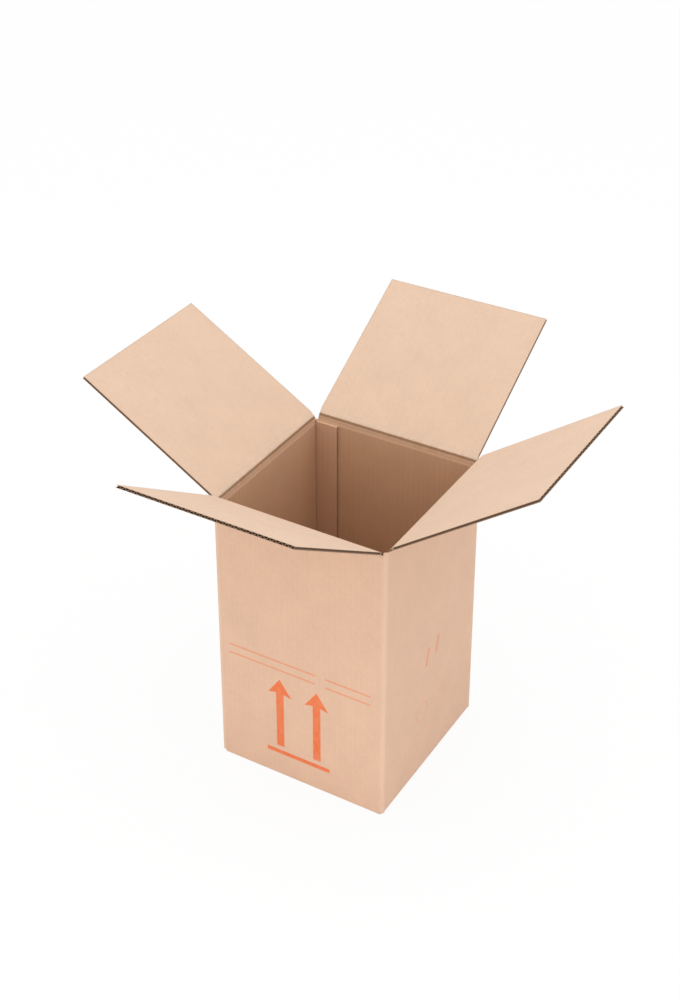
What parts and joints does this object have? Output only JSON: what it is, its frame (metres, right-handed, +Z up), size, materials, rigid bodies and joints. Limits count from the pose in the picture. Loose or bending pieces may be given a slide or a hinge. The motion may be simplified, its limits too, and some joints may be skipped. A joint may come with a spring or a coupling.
{
  "type": "bottle shipping box",
  "caption": "Square corrugated shipping case for bottles, open at the top, with long overlapping flaps hinged at its rim.",
  "frame": {"origin": "on the floor, at the middle of the closed bottom of the case", "axes": "+Z up, -Y out of the front wall, +X out of the right wall"},
  "size_m": [0.5242, 0.5306, 0.4555],
  "materials": {
    "case_board": "matt brown kraft paper",
    "flap_board": "matt brown kraft paper"
  },
  "bodies": {
    "case": {"case": "case_board"},
    "left_flap": {"left_flap": "flap_board"},
    "back_flap": {"back_flap": "flap_board"},
    "front_flap": {"front_flap": "flap_board"},
    "right_flap": {"right_flap": "flap_board"}
  },
  "joints": [
    {"name": "left_crease", "type": "hinge", "parent": "case", "child": "left_flap", "pos_m": [-0.1025, 0, 0.3325], "axis": [0, -1, 0], "range_deg": [-149, 116]},
    {"name": "back_crease", "type": "hinge", "parent": "case", "child": "back_flap", "pos_m": [0, 0.1025, 0.3357], "axis": [-1, 0, 0], "range_deg": [-150, 115]},
    {"name": "front_crease", "type": "hinge", "parent": "case", "child": "front_flap", "pos_m": [0, -0.1025, 0.3389], "axis": [1, 0, 0], "range_deg": [-147, 118]},
    {"name": "right_crease", "type": "hinge", "parent": "case", "child": "right_flap", "pos_m": [0.1025, 0, 0.3421], "axis": [0, 1, 0], "range_deg": [-144.5, 120.5]}
  ]
}
